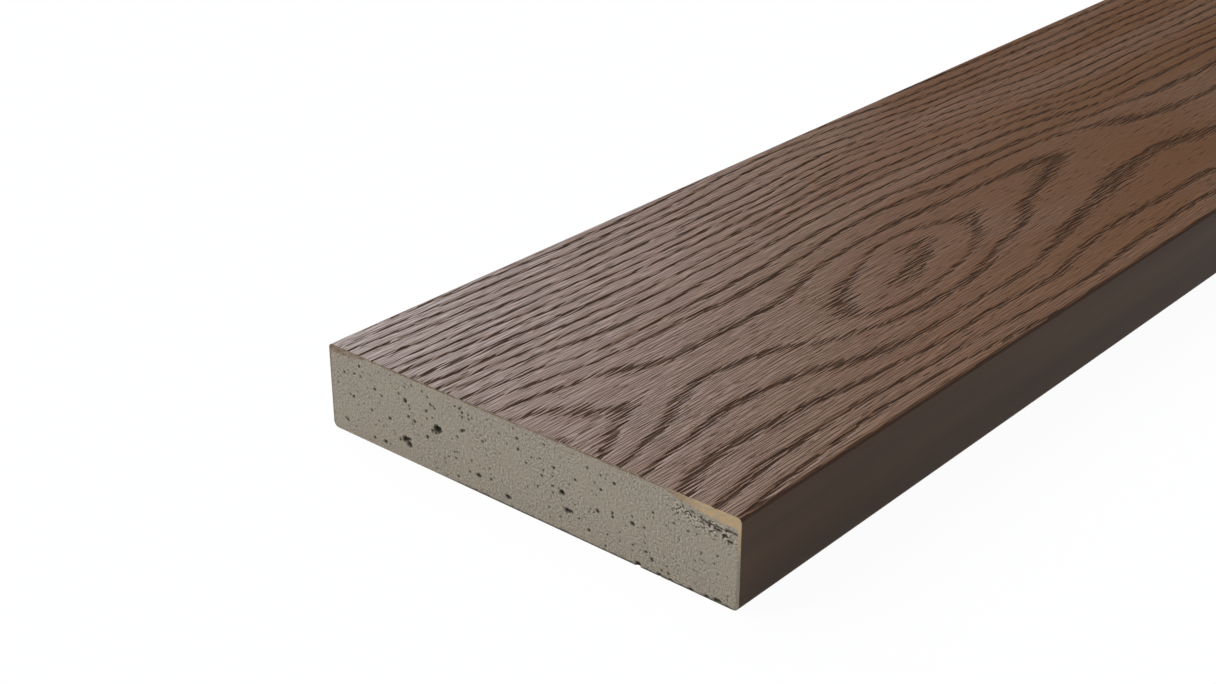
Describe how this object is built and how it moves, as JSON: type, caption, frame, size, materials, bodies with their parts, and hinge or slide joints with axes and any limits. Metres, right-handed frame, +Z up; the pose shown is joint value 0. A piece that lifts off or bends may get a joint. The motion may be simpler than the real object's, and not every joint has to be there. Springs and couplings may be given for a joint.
{
  "type": "decking board",
  "caption": "Composite decking board: a foamed mineral-resin core in a moulded, wood-grained elastomer skin, laid flat across joists as a walking surface.",
  "frame": {"origin": "centre of the underside, which rests on the joists", "axes": "+X along the board away from the sawn end that the picture shows, +Y across its width towards the back edge, +Z up out of the wear face"},
  "size_m": [3.6, 0.176, 0.032],
  "materials": {
    "foamed_core": "sawn, matt, with small bubbles",
    "grained_skin": "moulded oak grain, satin on the wear face and smooth on the long edges"
  },
  "bodies": {
    "root": {"core_slab": "foamed_core", "wear_skin": "grained_skin"}
  },
  "joints": []
}
